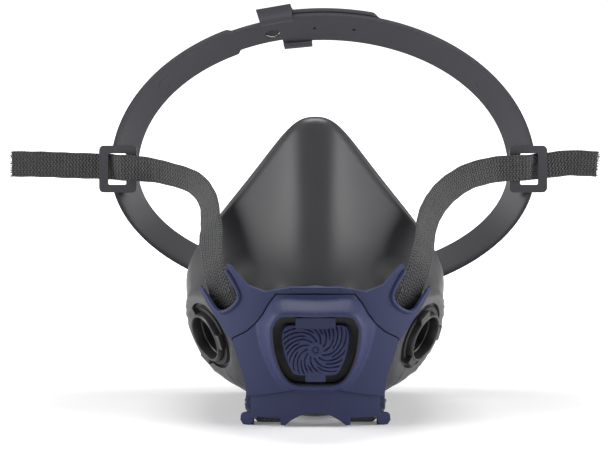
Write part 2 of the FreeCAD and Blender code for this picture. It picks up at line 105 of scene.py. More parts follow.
def colours():
    return bpy.context.scene.respirator_colours


# ---- shader expressions ----


class Wire:
    """A node socket that can be used in a Python expression."""

    def __init__(self, shader, socket):
        self.shader = shader
        self.socket = socket

    def math(self, operation, *others):
        return self.shader.node("ShaderNodeMath", {"operation": operation}, dict(enumerate((self, *others))))

    def __add__(self, other):
        return self.math("ADD", other)

    def __mul__(self, other):
        return self.math("MULTIPLY", other)

    __radd__ = __add__
    __rmul__ = __mul__

    def sine(self):
        return self.math("SINE")

    def size(self):
        return self.math("ABSOLUTE")


class Shader:
    """One material, with a Principled shader whose sockets take values or wires."""

    def __init__(self, name):
        self.material = bpy.data.materials.new(name)
        self.material.use_nodes = True
        self.tree = self.material.node_tree
        self.shell = self.tree.nodes["Principled BSDF"]

    def plug(self, socket, value):
        if isinstance(value, Wire):
            self.tree.links.new(value.socket, socket)
        elif hasattr(value, "__len__") and socket.type == "RGBA":
            socket.default_value = (*value[:3], 1.0)
        else:
            socket.default_value = value

    def node(self, kind, settings=None, inputs=None, output=0):
        made = self.tree.nodes.new(kind)
        for key, value in (settings or {}).items():
            setattr(made, key, value)
        for key, value in (inputs or {}).items():
            self.plug(made.inputs[key], value)
        return Wire(self, made.outputs[output])

    def place(self):
        return self.node("ShaderNodeTexCoord", output="Object")

    def part(self, vector, axis):
        """One number of a vector: X, Y or Z."""
        return self.node("ShaderNodeSeparateXYZ", {}, {0: vector}, output=axis)

    def noise(self, scale, detail=4.0, roughness=0.55):
        inputs = {"Vector": self.place(), "Scale": scale, "Detail": detail, "Roughness": roughness}
        return self.node("ShaderNodeTexNoise", {}, inputs)

    def mix(self, amount, first, second):
        return self.node(
            "ShaderNodeMix", {"data_type": "RGBA"}, {"Factor": amount, 6: first, 7: second}, output=2
        )

    def ramp(self, value, start, end):
        return self.node(
            "ShaderNodeMapRange", {"interpolation_type": "SMOOTHSTEP"},
            {"Value": value, "From Min": start, "From Max": end, "To Min": 0.0, "To Max": 1.0},
        )

    def bump(self, height, strength, distance):
        normal = self.node(
            "ShaderNodeBump", {}, {"Height": height, "Strength": strength, "Distance": distance}
        )
        self.plug(self.shell.inputs["Normal"], normal)

    def set(self, **values):
        for key, value in values.items():
            self.plug(self.shell.inputs[key.replace("_", " ")], value)


def scaled(tone, factor):
    return tuple(min(1.0, channel * factor) for channel in tone)


MATERIALS = {}


def material(name):
    """Each material is made once, by the function of the same name."""
    if name not in MATERIALS:
        MATERIALS[name] = MAKERS[name]().material
    return MATERIALS[name]


def facepiece_rubber():
    shader = Shader("facepiece_rubber")
    tone = tuple(colours().rubber)
    cloud = shader.noise(38, 3)
    grain = shader.noise(2600, 2)
    side = shader.part(shader.place(), "X").size()
    height = shader.part(shader.place(), "Z")
    # Painted light: the lower cheeks are coloured lighter and warmer, standing in for the side lights
    # falling on them.
    painted_cheek_light = shader.ramp(side, 0.036, 0.054) * shader.ramp(height, 0.086, 0.062)
    base = shader.mix(cloud, scaled(tone, 0.90), scaled(tone, 1.10))
    base = shader.mix(painted_cheek_light, base, scaled((tone[0] * 1.03, tone[1], tone[2] * 0.95), 1.75))
    shader.set(Base_Color=base, Roughness=0.36 + 0.08 * cloud + 0.08 * painted_cheek_light)
    shader.set(Specular_IOR_Level=0.5)
    shader.bump(grain, 0.16, 0.00012)
    return shader


def yoke_plastic():
    shader = Shader("yoke_plastic")
    tone = tuple(colours().plastic)
    cloud = shader.noise(55, 3)
    grain = shader.noise(1900, 3)
    speck = shader.noise(5200, 2)
    base = shader.mix(cloud, scaled(tone, 0.88), scaled(tone, 1.12))
    shader.set(Base_Color=base, Roughness=0.50 + 0.14 * cloud)
    shader.set(Specular_IOR_Level=0.34)
    shader.bump(grain + 0.5 * speck, 0.3, 0.00015)
    return shader


def port_plastic():
    shader = Shader("port_plastic")
    tone = tuple(colours().black)
    cloud = shader.noise(90, 3)
    base = shader.mix(cloud, scaled(tone, 0.8), scaled(tone, 1.5))
    shader.set(Base_Color=base, Roughness=0.34 + 0.16 * cloud)
    shader.bump(shader.noise(1800, 2), 0.15, 0.0001)
    return shader


def gasket_rubber():
    shader = Shader("gasket_rubber")
    tone = tuple(colours().black)
    cloud = shader.noise(140, 3)
    shader.set(Base_Color=shader.mix(cloud, tone, scaled(tone, 2.2)), Roughness=0.6 + 0.15 * cloud)
    shader.bump(shader.noise(1500, 3), 0.25, 0.0001)
    return shader


def cradle_plastic():
    shader = Shader("cradle_plastic")
    tone = tuple(colours().band)
    cloud = shader.noise(30, 4)
    grain = shader.noise(1700, 3)
    base = shader.mix(cloud, scaled(tone, 0.90), scaled(tone, 1.10))
    shader.set(Base_Color=base, Roughness=0.44 + 0.12 * cloud)
    shader.bump(grain, 0.20, 0.0001)
    return shader


def valve_silicone():
    shader = Shader("valve_silicone")
    tone = tuple(colours().silicone)
    cloud = shader.noise(120, 3)
    base = shader.mix(cloud, scaled(tone, 0.85), scaled(tone, 1.1))
    shader.set(Base_Color=base, Roughness=0.3 + 0.1 * cloud)
    shader.bump(shader.noise(900, 2), 0.1, 0.0001)
    return shader


def pin_steel():
    shader = Shader("pin_steel")
    tone = tuple(colours().steel)
    brushed = shader.noise(900, 3)
    shader.set(Base_Color=shader.mix(brushed, scaled(tone, 0.85), scaled(tone, 1.1)), Metallic=1.0)
    shader.set(Roughness=0.28 + 0.2 * brushed)
    return shader


def webbing():
    """Knitted elastic: slanted stitches in narrow columns, with a plain rib along each edge."""
    shader = Shader("webbing")
    tone = tuple(colours().web)
    flat = shader.node("ShaderNodeUVMap", {"uv_map": "lie"})
    across, along = shader.part(flat, "X"), shader.part(flat, "Y")
    column = FULL / 0.0021
    stitch = FULL / 0.0016
    slant = (across * column).sine()
    knit = (along * stitch + slant * 1.5).sine() * 0.5 + 0.5
    rows = (across * (FULL / 0.00105)).sine() * 0.5 + 0.5
    wobble = shader.noise(700, 3)
    height = knit * 0.6 + rows * 0.3 + wobble * 0.35
    fluff = shader.noise(240, 5, 0.7)
    # The colour follows the knit's relief: painted shade in the hollows between stitches and painted
    # highlight on their tops, mixed with random fluff tone.
    painted_knit_shade_and_fluff = height * 0.8 + fluff * 0.35
    base = shader.mix(painted_knit_shade_and_fluff, scaled(tone, 0.20), scaled(tone, 2.6))
    shader.set(Base_Color=base, Roughness=0.86)
    shader.set(Sheen_Weight=0.12)
    shader.set(Sheen_Roughness=0.5)
    shader.set(Specular_IOR_Level=0.25)
    shader.bump(height, 1.0, 0.0006)
    return shader


def studio_floor():
    """Pale board that glows a little further away, so that it stays even behind the mask."""
    shader = Shader("studio_floor")
    away = shader.node("ShaderNodeVectorMath", {"operation": "LENGTH"}, {0: shader.place()}, output=1)
    glow = shader.ramp(away, 0.10, 0.50)
    shader.set(Base_Color=(0.92, 0.92, 0.925), Roughness=0.6)
    shader.set(Emission_Color=shader.mix(glow, (0.14, 0.14, 0.14), (0.95, 0.95, 0.95)))
    shader.set(Emission_Strength=1.0)
    return shader


MAKERS = {
    maker.__name__: maker
    for maker in (
        facepiece_rubber, yoke_plastic, port_plastic, gasket_rubber, cradle_plastic, valve_silicone,
        pin_steel, webbing, studio_floor,
    )
}


# ---- mesh tools, in millimetres ----


class Shape:
    """Points and faces gathered into one mesh."""

    def __init__(self):
        self.points = []
        self.faces = []
        self.lie = []

    def add(self, points, faces, lie=None):
        base = len(self.points)
        self.points += [Vector(point) for point in points]
        self.faces += [[base + index for index in face] for face in faces]
        self.lie += lie if lie else [(0.0, 0.0)] * len(points)

    def grid(self, rows, round_rows=False, round_columns=True, caps=False):
        """Rows of points joined by quads."""
        count, wide = len(rows), len(rows[0])
        faces = []
        for row in range(count if round_rows else count - 1):
            for column in range(wide if round_columns else wide - 1):
                near, far = row * wide, (row + 1) % count * wide
                beside = (column + 1) % wide
                faces.append((near + column, near + beside, far + beside, far + column))
        if caps:
            faces.append(tuple(reversed(range(wide))))
            faces.append(tuple((count - 1) * wide + column for column in range(wide)))
        self.add([point for row in rows for point in row], faces)

    def move(self, matrix):
        self.points = [matrix @ point for point in self.points]
        return self

    def join(self, other):
        self.add(other.points, other.faces, other.lie)

    def object(self, name, finish, sharp=35.0, keep_lie=False):
        mesh = bpy.data.meshes.new(name)
        mesh.from_pydata([point * MM for point in self.points], [], self.faces)
        made = bpy.data.objects.new(name, mesh)
        bpy.context.scene.collection.objects.link(made)
        if keep_lie:
            layer = mesh.uv_layers.new(name="lie")
            for loop in mesh.loops:
                layer.data[loop.index].uv = self.lie[loop.vertex_index]
        tidy_mesh(mesh, sharp)
        mesh.materials.append(material(finish))
        return made


def tidy_mesh(mesh, sharp):
    work = bmesh.new()
    work.from_mesh(mesh)
    bmesh.ops.recalc_face_normals(work, faces=work.faces)
    work.to_mesh(mesh)
    work.free()
    mesh.shade_smooth()
    mesh.set_sharp_from_angle(angle=math.radians(sharp))


def bevelled(made, width, segments=3, angle=40.0):
    bevel = made.modifiers.new("edges", "BEVEL")
    bevel.width = width * MM
    bevel.segments = segments
    bevel.limit_method = "ANGLE"
    bevel.angle_limit = math.radians(angle)
    bevel.use_clamp_overlap = True
    settle(made)
    return made


def settle(made):
    """Make the modifiers part of the mesh."""
    ready = made.evaluated_get(bpy.context.evaluated_depsgraph_get())
    mesh = bpy.data.meshes.new_from_object(ready)
    made.modifiers.clear()
    made.data = mesh


def cut(made, cutter):
    """Take a closed shape out of a piece."""
    tool = cutter.object(f"{made.name}_cutter", "port_plastic")
    trim = made.modifiers.new("cut", "BOOLEAN")
    trim.operation = "DIFFERENCE"
    trim.solver = "EXACT"
    trim.object = tool
    settle(made)
    bpy.data.objects.remove(tool)
    made.data.shade_smooth()
    made.data.set_sharp_from_angle(angle=math.radians(35))


def spline(points, step, closed=False):
    """Points along a smooth curve through the given ones, step of them to a span."""
    count = len(points)
    found = []
    for index in range(count if closed else count - 1):
        ends = [index - 1, index, index + 1, index + 2]
        four = [points[e % count] if closed else points[min(max(e, 0), count - 1)] for e in ends]
        found += [catmull(four, k / step) for k in range(step)]
    return found if closed else found + [points[-1]]


def catmull(four, share):
    """A point between the middle two of four, for tuples or vectors."""
    a, b, c, d = four
    weights = (
        ((-share + 2) * share - 1) * share / 2,
        ((3 * share - 5) * share * share + 2) / 2,
        ((-3 * share + 4) * share + 1) * share / 2,
        (share - 1) * share * share / 2,
    )
    blend = [sum(w * p[axis] for w, p in zip(weights, (a, b, c, d))) for axis in range(len(a))]
    return Vector(blend)


def smoothstep(value, start, end):
    share = min(max((value - start) / (end - start), 0.0), 1.0)
    return share * share * (3 - 2 * share)


def rounded(outline, radius, segments=5):
    """An outline with each corner turned into a small arc."""
    found = []
    count = len(outline)
    for index, corner in enumerate(outline):
        here = Vector(corner)
        before, after = Vector(outline[index - 1]), Vector(outline[(index + 1) % count])
        arm = min(radius, (before - here).length * 0.45, (after - here).length * 0.45)
        start = here + (before - here).normalized() * arm
        end = here + (after - here).normalized() * arm
        for step in range(segments + 1):
            t = step / segments
            found.append(start * (1 - t) ** 2 + here * 2 * t * (1 - t) + end * t * t)
    return found


def mirrored(points):
    return points + [(-x, z) for x, z in reversed(points) if x > 0]


def vectors(points):
    return [Vector(point) for point in points]


def plate(outline, holes, cell, front, back):
    """A closed plate over an outline seen from the front, cut into small cells and bent to shape."""
    work = bmesh.new()
    edges = []
    for loop in [outline] + holes:
        corners = [work.verts.new((point[0], 0, point[1])) for point in loop]
        edges += [work.edges.new(pair) for pair in zip(corners, corners[1:] + corners[:1])]
    bmesh.ops.triangle_fill(work, use_beauty=True, edges=edges, normal=(0, -1, 0))
    for axis in (0, 2):
        reach = [vertex.co[axis] for vertex in work.verts]
        place = math.ceil(min(reach) / cell) * cell
        while place < max(reach):
            at = Vector((place, 0, 0)) if axis == 0 else Vector((0, 0, place))
            normal = (1, 0, 0) if axis == 0 else (0, 0, 1)
            everything = work.verts[:] + work.edges[:] + work.faces[:]
            bmesh.ops.bisect_plane(work, geom=everything, dist=cell * 0.02, plane_co=at, plane_no=normal)
            place += cell
    bmesh.ops.remove_doubles(work, verts=work.verts, dist=cell * 0.01)
    work.verts.index_update()
    flat = [vertex.co.copy() for vertex in work.verts]
    faces = [[vertex.index for vertex in face.verts] for face in work.faces]
    rim = [edge for edge in work.edges if len(edge.link_faces) == 1]
    walls = []
    for edge in rim:
        face = [vertex.index for vertex in edge.link_faces[0].verts]
        a, b = edge.verts[0].index, edge.verts[1].index
        if face[(face.index(a) + 1) % len(face)] != b:
            a, b = b, a
        walls.append((b, a, a + len(flat), b + len(flat)))
    work.free()
    made = Shape()
    near = [Vector((p.x, front(p.x, p.z), p.z)) for p in flat]
    far = [Vector((p.x, back(p.x, p.z), p.z)) for p in flat]
    behind = [[index + len(flat) for index in reversed(face)] for face in faces]
    made.add(near + far, faces + behind + walls)
    return made


def tube_along(path, radius, sides=10):
    """A round rod along points, closed at both ends."""
    rows = []
    for index, here in enumerate(path):
        ahead = path[min(index + 1, len(path) - 1)] - path[max(index - 1, 0)]
        ahead.normalize()
        side = ahead.cross(Vector((0, 1, 0))).normalized()
        up = side.cross(ahead)
        taper = 0.55 if index in (0, len(path) - 1) else 1.0
        ring = [FULL * k / sides for k in range(sides)]
        rows.append([here + (side * math.cos(a) + up * math.sin(a)) * radius * taper for a in ring])
    made = Shape()
    made.grid(rows, caps=True)
    return made


def lathe(profile, turns=96):
    """A closed profile of (radius, height) turned about Z."""
    rows = []
    for radius, height in profile:
        angles = [FULL * k / turns for k in range(turns)]
        rows.append([Vector((radius * math.cos(a), radius * math.sin(a), height)) for a in angles])
    made = Shape()
    made.grid(rows, round_rows=True)
    return made


def block(lower, upper):
    (x0, y0, z0), (x1, y1, z1) = lower, upper
    made = Shape()
    corners = [(x, y, z) for x in (x0, x1) for y in (y0, y1) for z in (z0, z1)]
    faces = [(0, 1, 3, 2), (4, 6, 7, 5), (0, 4, 5, 1), (2, 3, 7, 6), (0, 2, 6, 4), (1, 5, 7, 3)]
    made.add(corners, faces)
    return made


def rod(radius, start, end, sides=64):
    """A plain cylinder about Z, for cutting."""
    made = Shape()
    angles = [FULL * k / sides for k in range(sides)]
    ring = [[Vector((radius * math.cos(a), radius * math.sin(a), z)) for a in angles] for z in (start, end)]
    made.grid(ring, caps=True)
    return made


# ---- the mask's own frames and surfaces ----

ROLL = 44.0  # the upright axis that the yoke and cover are rolled about
VALVE_HEIGHT = 37.0
PORT_CENTRE = (46.8, -13.5, 37.3)
PORT_YAW = math.radians(30)
PORT_TILT = math.radians(18)
PORT_BARREL = 12.0
PORT_WELL = 16.2
FRONT_Y = -36.0
WIDE_Y = 22.0


def rolled(radius, x):
    """How far forward a skin of this radius lies at x."""
    return ROLL - math.sqrt(radius * radius - x * x)


def port_matrix(side):
    """Local Z points out of the filter port."""
    across = math.cos(PORT_TILT)
    out = Vector((side * across * math.cos(PORT_YAW), -across * math.sin(PORT_YAW), -math.sin(PORT_TILT)))
    level = Vector((0, 0, 1)).cross(out).normalized()
    rise = out.cross(level)
    turn = Matrix((level, rise, out)).transposed().to_4x4()
    x, y, z = PORT_CENTRE
    return Matrix.Translation((side * x, y, z)) @ turn


def cradle_matrix():
    lean = Matrix.Rotation(math.radians(-8), 4, "X")
    return Matrix.Translation((4, 66, 103)) @ lean


def facepiece_loop(y, inset):
    """Control points of the facepiece's outline in the upright plane at y."""
    share = min((y - FRONT_Y) / (WIDE_Y - FRONT_Y), 1.0)
    past = max(y - WIDE_Y, 0.0)
    swell = math.sqrt(max(1 - (1 - share) ** 2, 0.0))
    half = 16 + 45 * swell - past**2 / 160
    top = min(63.5 + 69.1 * (y - FRONT_Y) / (WIDE_Y - FRONT_Y), 132.6 + past * 0.2)
    bottom = max(-1.4 + 15.4 * (1 - share) ** 9, 0.05)
    middle = 40 + 14 * share
    valley_x = min(20 + 25 * share, half * 0.92)
    valley_z = 60 + 25 * share
    out = half - valley_x
    drop = valley_z - middle
    side = [
        (0.235 * valley_x, top - 0.07 * (top - valley_z)),
        (0.59 * valley_x, top - 0.53 * (top - valley_z)),
        (valley_x, valley_z),
        (valley_x + 0.55 * out, valley_z - 0.33 * drop),
        (valley_x + 0.88 * out, valley_z - 0.66 * drop),
    ]
    for step in range(4):
        turn = math.pi / 8 * step
        side.append((half * math.cos(turn), middle - (middle - bottom) * math.sin(turn)))
    pulled = []
    for x, z in mirrored([(0, top)] + side + [(0, bottom)]):
        reach = math.hypot(x, z - middle)
        keep = 1 - inset / reach
        pulled.append((x * keep, middle + (z - middle) * keep))
    return pulled


def skin_point(turn, y, inset=0.0):
    """A point on the facepiece, where turn runs round the outline in control points."""
    points = facepiece_loop(max(y, FRONT_Y), inset)
    spot = Vector((0, 0))
    for shift, weight in ((-0.6, 1), (-0.3, 2), (0, 3), (0.3, 2), (0.6, 1)):
        index = math.floor(turn + shift)
        four = [points[(index + offset) % len(points)] for offset in (-1, 0, 1, 2)]
        spot += catmull(four, turn + shift - index) * weight / 9
    return Vector((spot.x, y, spot.y))


def seal_y(z):
    """Where the sealing edge lies at a height: forward at nose and chin, back at the cheeks."""
    low_z, mid_z, top_z = 0.0, 55.0, 134.0
    low_y, mid_y, top_y = 36.0, 46.0, 27.0
    return (
        low_y * (z - mid_z) * (z - top_z) / ((low_z - mid_z) * (low_z - top_z))
        + mid_y * (z - low_z) * (z - top_z) / ((mid_z - low_z) * (mid_z - top_z))
        + top_y * (z - low_z) * (z - mid_z) / ((top_z - low_z) * (top_z - mid_z))
    )


def port_dish(point, level):
    """Flatten the skin round each filter port; the outside has moulded ripples round it."""
    for side in (-1, 1):
        if point.x * side < 0:
            continue
        frame_in = port_matrix(side)
        local = frame_in.inverted() @ point
        reach = math.hypot(local.x, local.y)
        if reach > 34 or local.z < -26:
            continue
        flat = smoothstep(reach, 29, 18.3)
        ripple = 0.0
        if level > 0:
            fade = smoothstep(reach, 18.0, 19.5) * smoothstep(reach, 33, 26)
            ripple = 0.34 * fade * math.cos((reach - 19.5) * FULL / 2.7)
        local.z = local.z * (1 - flat) + level * flat + ripple
        point = frame_in @ local
    return point


# ---- facepiece ----

ROUND_STEPS = 7
SKIN_ROWS = 52


def facepiece_shape():
    """One closed skin: outside from front to edge, round the soft lip, and back inside."""
    wall, lip = sizes().wall / MM, sizes().lip / MM
    turns = [index / ROUND_STEPS for index in range(len(facepiece_loop(0, 0)) * ROUND_STEPS)]
    edges = []
    for turn in turns:
        y = 40.0
        for _ in range(4):
            y = seal_y(skin_point(turn, y).z)
        edges.append(y - 1.2)
    rows = []
    for row in range(SKIN_ROWS):
        share = 1 - math.cos(row / (SKIN_ROWS - 1) * math.pi / 2)
        line = []
        for turn, edge in zip(turns, edges):
            point = skin_point(turn, FRONT_Y + (edge - FRONT_Y) * share)
            point = port_dish(point, 1.9)
            crease = 0.35 * math.exp(-((point.x / 0.9) ** 2)) * smoothstep(point.z, 80, 90)
            crease *= smoothstep(point.z, 112, 100)
            point.y += crease
            line.append(point)
        rows.append(line)
    lip_path = [
        (0.3, 0.7), (1.0, 1.15), (2.0, 1.2), (3.6, 0.9), (5.4, 0.2), (7.2, -0.9), (lip, -2.4),
        (lip + 0.5, -3.1), (lip + 0.2, -3.6), (lip - 0.6, -3.5), (7.2, -2.5), (5.4, -1.7), (3.9, -2.0),
        (3.1, -3.2), (wall, -5.0),
    ]
    for inset, behind in lip_path:
        rows.append([skin_point(turn, edge + behind, inset) for turn, edge in zip(turns, edges)])
    for row in range(SKIN_ROWS // 2, -1, -1):
        share = 1 - math.cos(row / (SKIN_ROWS // 2) * math.pi / 2)
        line = []
        for turn, edge in zip(turns, edges):
            y = FRONT_Y + wall + (edge - 6.5 - FRONT_Y - wall) * share
            outer = skin_point(turn, y - wall * (1 - share), wall + 1.2 * (1 - share))
            line.append(port_dish(Vector((outer.x, y, outer.z)), -4.6))
        rows.append(line)
    made = Shape()
    made.grid(rows, caps=True)
    for point in made.points:
        point.z = max(point.z, 0.05)
    return made


class BuildFacepiece(bpy.types.Operator):
    """Mould the soft facepiece with its port seats and turned-in sealing lip"""

    bl_idname = "respirator.facepiece"
    bl_label = "Facepiece"

    def execute(self, context):
        skin = facepiece_shape().object("facepiece_skin", "facepiece_rubber", sharp=60)
        holes = Shape()
        for side in (-1, 1):
            well = [
                (0.05, -24), (PORT_BARREL, -24), (PORT_BARREL, 0), (PORT_WELL, 0), (PORT_WELL + 0.6, 12),
                (0.05, 12),
            ]
            holes.join(lathe(well).move(port_matrix(side)))
        lying = Matrix.Rotation(math.pi / 2, 4, "X")
        valve = Matrix.Translation((0, FRONT_Y, VALVE_HEIGHT)) @ lying
        holes.join(rod(13.5, -12, 12).move(valve))
        cut(skin, holes)
        skin.data.set_sharp_from_angle(angle=math.radians(50))
        boss = lathe([(13.6, -2.9), (17.2, -2.9), (17.5, -2.4), (17.5, 2.1), (17.1, 2.5), (13.6, 2.5)])
        seat = boss.move(valve).object("facepiece_valve_boss", "facepiece_rubber")
        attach(skin, "mask")
        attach(seat, "mask")
        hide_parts("facepiece", "face_seal")
        return {"FINISHED"}


# ---- yoke ----

BASE_SKIN = (86.0, 88.0)
RAISED_SKIN = 89.9
BAR_SKIN = 89.0  # low enough for the cover's lower edge to swing past

YOKE_TOP = [(0, 64.4), (11, 64.4), (22.9, 62)]
INNER_HORN = [(30.5, 64.5), (38.2, 73), (40.2, 73.2), (40.6, 71)]
NOTCH = [
    (40.6, 71), (37.6, 66.4), (35.0, 61.0), (35.2, 57.4), (38.4, 53.6), (42.4, 51.6), (45.4, 53), (48.2, 57),
    (51.3, 61.5),
]
OUTER_HORN = [(52.0, 62), (52.8, 61), (49, 54.2), (45, 48.4), (38.2, 38.6)]
COVER_TOP = [
    (37.6, 40.3), (31.6, 43.8), (27.4, 47.7), (24.0, 52.3), (21.3, 57.2), (18.0, 61.6), (0, 61.9),
]
UNDER_TOP = [(0, 63), (20, 62.5), (28, 56), (34, 48), (38, 40), (38, 38.4)]
SHELF = [(0, 64.2), (21, 61.8), (21, 60.6), (0, 60.6)]
SHELF_BACK = -36.9
FLANK = [(35.6, 31), (33.6, 25), (31.4, 20.4), (29.7, 19.6), (29.7, 13.4)]
BAR_TOP = [(0, 17.5), (11, 16.9), (20, 15.2), (29.7, 13.8)]
BAR_FOOT = [
    (29.7, 9.6), (29.7, 5.9), (31.4, 5.6), (32.8, 5.2), (34.0, 4.2), (34.2, 2.2), (33.0, 0.2), (30.2, 0.1),
    (28.6, 1.4), (28.0, 4.2),
    (16, 4.2), (15.8, 0.8), (13.8, 0.7), (11.0, 3.2), (7.5, 5.2), (3.6, 6.5), (0, 6.8),
]


def skin(radius):
    """A surface of the rolled skin, bowed back a little above and below its middle."""
    return lambda x, z: rolled(radius, x) + ((z - VALVE_HEIGHT) / 40.0) ** 2 * 0.9


def split_arm_outline():
    """The raised brow and horns: round the outside, then back along the cover's top edge."""
    outer = vectors(YOKE_TOP + INNER_HORN[:-1]) + spline(vectors(NOTCH), 4) + vectors(OUTER_HORN)
    inner = vectors(COVER_TOP)
    left = []
    for half in (inner, outer):
        left += [Vector((-p.x, p.y)) for p in reversed(half) if p.x > 0]
    return outer + inner + left


class BuildYoke(bpy.types.Operator):
    """Mould the blue yoke with its strap notches, latch strip, chin bar and feet"""

    bl_idname = "respirator.yoke"
    bl_label = "Yoke"

    def execute(self, context):
        inside, outside = BASE_SKIN
        parts = Shape()
        window = [
            Vector((17.9 * math.cos(FULL * k / 48), VALVE_HEIGHT + 17.9 * math.sin(FULL * k / 48)))
            for k in range(48)
        ]
        under = vectors(mirrored(UNDER_TOP + FLANK + [(29.6, 12), (0, 12)]))
        parts.join(plate(under, [window], 1.6, skin(outside), skin(inside)))
        parts.join(plate(split_arm_outline(), [], 1.1, skin(RAISED_SKIN), skin(inside)))
        bar = vectors(mirrored(BAR_TOP + BAR_FOOT))
        parts.join(plate(bar, [], 1.1, skin(BAR_SKIN), skin(inside)))
        shelf = vectors(mirrored(SHELF))
        parts.join(plate(shelf, [], 2.0, lambda x, z: rolled(outside, x), lambda x, z: SHELF_BACK))
        for side in (-1, 1):
            inner, outer = sorted((side * 27.9, side * 29.7))
            parts.join(block((inner, -38.2, 0.1), (outer, -31, 13)))
        made = parts.object("yoke_shell", "yoke_plastic")
        bevelled(made, 0.55)
        trim = Shape()
        for side in (-1, 1):
            rim = []
            for x, z in spline(vectors(NOTCH), 8):
                rim.append(Vector((side * x, skin(RAISED_SKIN)(x, z) - 0.15, z)))
            trim.join(tube_along(rim, 0.95))
        rims = trim.object("yoke_notch_rims", "yoke_plastic", sharp=80)
        strip = vectors(mirrored([(0, 64.0), (10.6, 64.0), (10.6, 62.3), (0, 62.3)]))
        latch_shape = plate(strip, [], 1.5, skin(90.5), skin(89))
        latch = latch_shape.object("yoke_latch_strip", "yoke_plastic")
        bevelled(latch, 0.4)
        for piece in (made, rims, latch):
            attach(piece, "mask")
        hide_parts("yoke")
        return {"FINISHED"}


# ---- front cover, shield and painted-shade liner ----

COVER_EDGE = [
    (0, 61.4), (17.5, 61.2), (20.9, 56.8), (23.6, 51.9), (27, 47.2), (31.2, 43.3), (37.4, 39.9),
    (37.6, 38.5), (35, 31), (33, 25), (31.8, 19.0), (31.4, 14.0), (28.6, 14.2), (20, 15.6), (11, 17.3),
    (0, 17.9),
]
BEZEL = [
    (0, 53.2), (14.6, 53.0), (18.6, 49.4), (19.5, 45), (18.6, 36), (15.9, 27.6), (12.4, 22.6), (8, 20.7),
    (0, 20.6),
]


def bezel_loop(grow=0.0):
    """The exhaust opening as a smooth closed line, grown outward by a margin."""
    line = spline(vectors(mirrored(BEZEL)), 5, closed=True)
    count = len(line)
    grown = []
    for index, here in enumerate(line):
        along = (line[(index + 1) % count] - line[index - 1]).normalized()
        grown.append(here + Vector((-along.y, along.x)) * grow)
    return grown


def distance_to(line, x, z):
    here = Vector((x, z))
    best = 1e9
    for a, b in zip(line, line[1:] + line[:1]):
        run = b - a
        share = min(max((here - a).dot(run) / run.length_squared, 0.0), 1.0)
        best = min(best, (here - a - run * share).length)
    return best


def hood_surface():
    """The cover's front: the rolled skin, swelling forward to the bezel's rim."""
    line = bezel_loop()
    tall, short = sizes().hood_top / MM, sizes().hood_bottom / MM

    def front(x, z):
        up = smoothstep(z, 20, 54)
        rise = short + (tall - short) * up
        away = distance_to(line, x, z)
        spread = 4.4 + 3.6 * up
        swell = 1 - smoothstep(away, 1.3, spread)
        rim = 0.5 * math.exp(-(((away - 0.9) / 0.8) ** 2))
        return skin(90.3)(x, z) - rise * swell - rim

    return front


class BuildCover(bpy.types.Operator):
    """Mould the hinged front cover with its exhaust hood and hinge ears"""

    bl_idname = "respirator.cover"
    bl_label = "Front cover"

    def execute(self, context):
        front = hood_surface()
        outline = rounded(mirrored(COVER_EDGE), 0.8, 2)
        shell = plate(outline, [bezel_loop()], 0.85, front, skin(88.4))
        for side in (-1, 1):
            inner, outer = sorted((side * 29.95, side * 31.45))
            shell.join(block((inner, -39.6, 7.9), (outer, -33.4, 15.2)))
        made = shell.object("front_cover_shell", "yoke_plastic", sharp=40)
        bevelled(made, 0.45, 2, 50)
        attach(made, "cover")
        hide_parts("front_cover")
        # Painted shade: a black sheet inside the hood stands in for the shade in the gap round the shield.
        shade_lining = shade_liner_shape().object("exhaust_shade_liner", "gasket_rubber", sharp=50)
        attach(shade_lining, "cover")
        return {"FINISHED"}


def shade_liner_shape():
    """Painted shade: a black sheet just inside the hood, turned in behind the shield, that darkens the gap
    round the shield.
    """
    centre = Vector((0, VALVE_HEIGHT))
    front = hood_surface()
    stages = [(0.35, 1.6), (0.15, 1.1), (-0.35, 1.3), (-0.5, 2.4), (-0.5, 6.0), (-2.2, 7.4), (-5.5, 7.6)]
    rows = []
    for grow, deep in stages:
        row = []
        for here in bezel_loop():
            spot = here + (here - centre).normalized() * grow
            row.append(Vector((spot.x, min(front(here.x, here.y) + deep, -44.6), spot.y)))
        rows.append(row)
    behind = [[point + Vector((0, 0.35, 0)) for point in row] for row in reversed(rows)]
    made = Shape()
    made.grid(rows + behind, round_rows=True)
    return made


SHIELD_EDGE = [
    (0, 48.6), (12.2, 48.6), (15.0, 46.4), (15.6, 42.5), (14.4, 35.6), (11.4, 28.4), (8.4, 25.4), (0, 25.2),
]
SHIELD_FRONT = -51.6
SHIELD_TABS = ((9, 46.6, 51.6, 0.7, -50.9), (4.6, 22.4, 27.5, 0.6, -50.8))  # upper, lower
TAB_BACK = -49.4
SWIRL_CENTRE = Vector((0, 37.2))
SWIRL_ARMS = 12


def swirl(x, z, edge_gap):
    """How deep the spiral grooves are here, from 0 to 1."""
    out = Vector((x, z)) - SWIRL_CENTRE
    reach = out.length
    turn = math.atan2(out.y, out.x)
    deep = 0.0
    for first, start in ((0.0, 3.4), (0.5, 7.6)):
        phase = (turn - reach * 0.115) / FULL * SWIRL_ARMS + first
        off = abs(phase - round(phase)) * FULL / SWIRL_ARMS * reach
        line = 1 - smoothstep(off, 0.26, 0.52)
        deep = max(deep, line * smoothstep(reach, start, start + 0.6))
    ring = 1 - smoothstep(abs(reach - 1.3), 0.2, 0.45)
    return max(deep, ring * 0.7) * smoothstep(edge_gap, 1.0, 1.6)


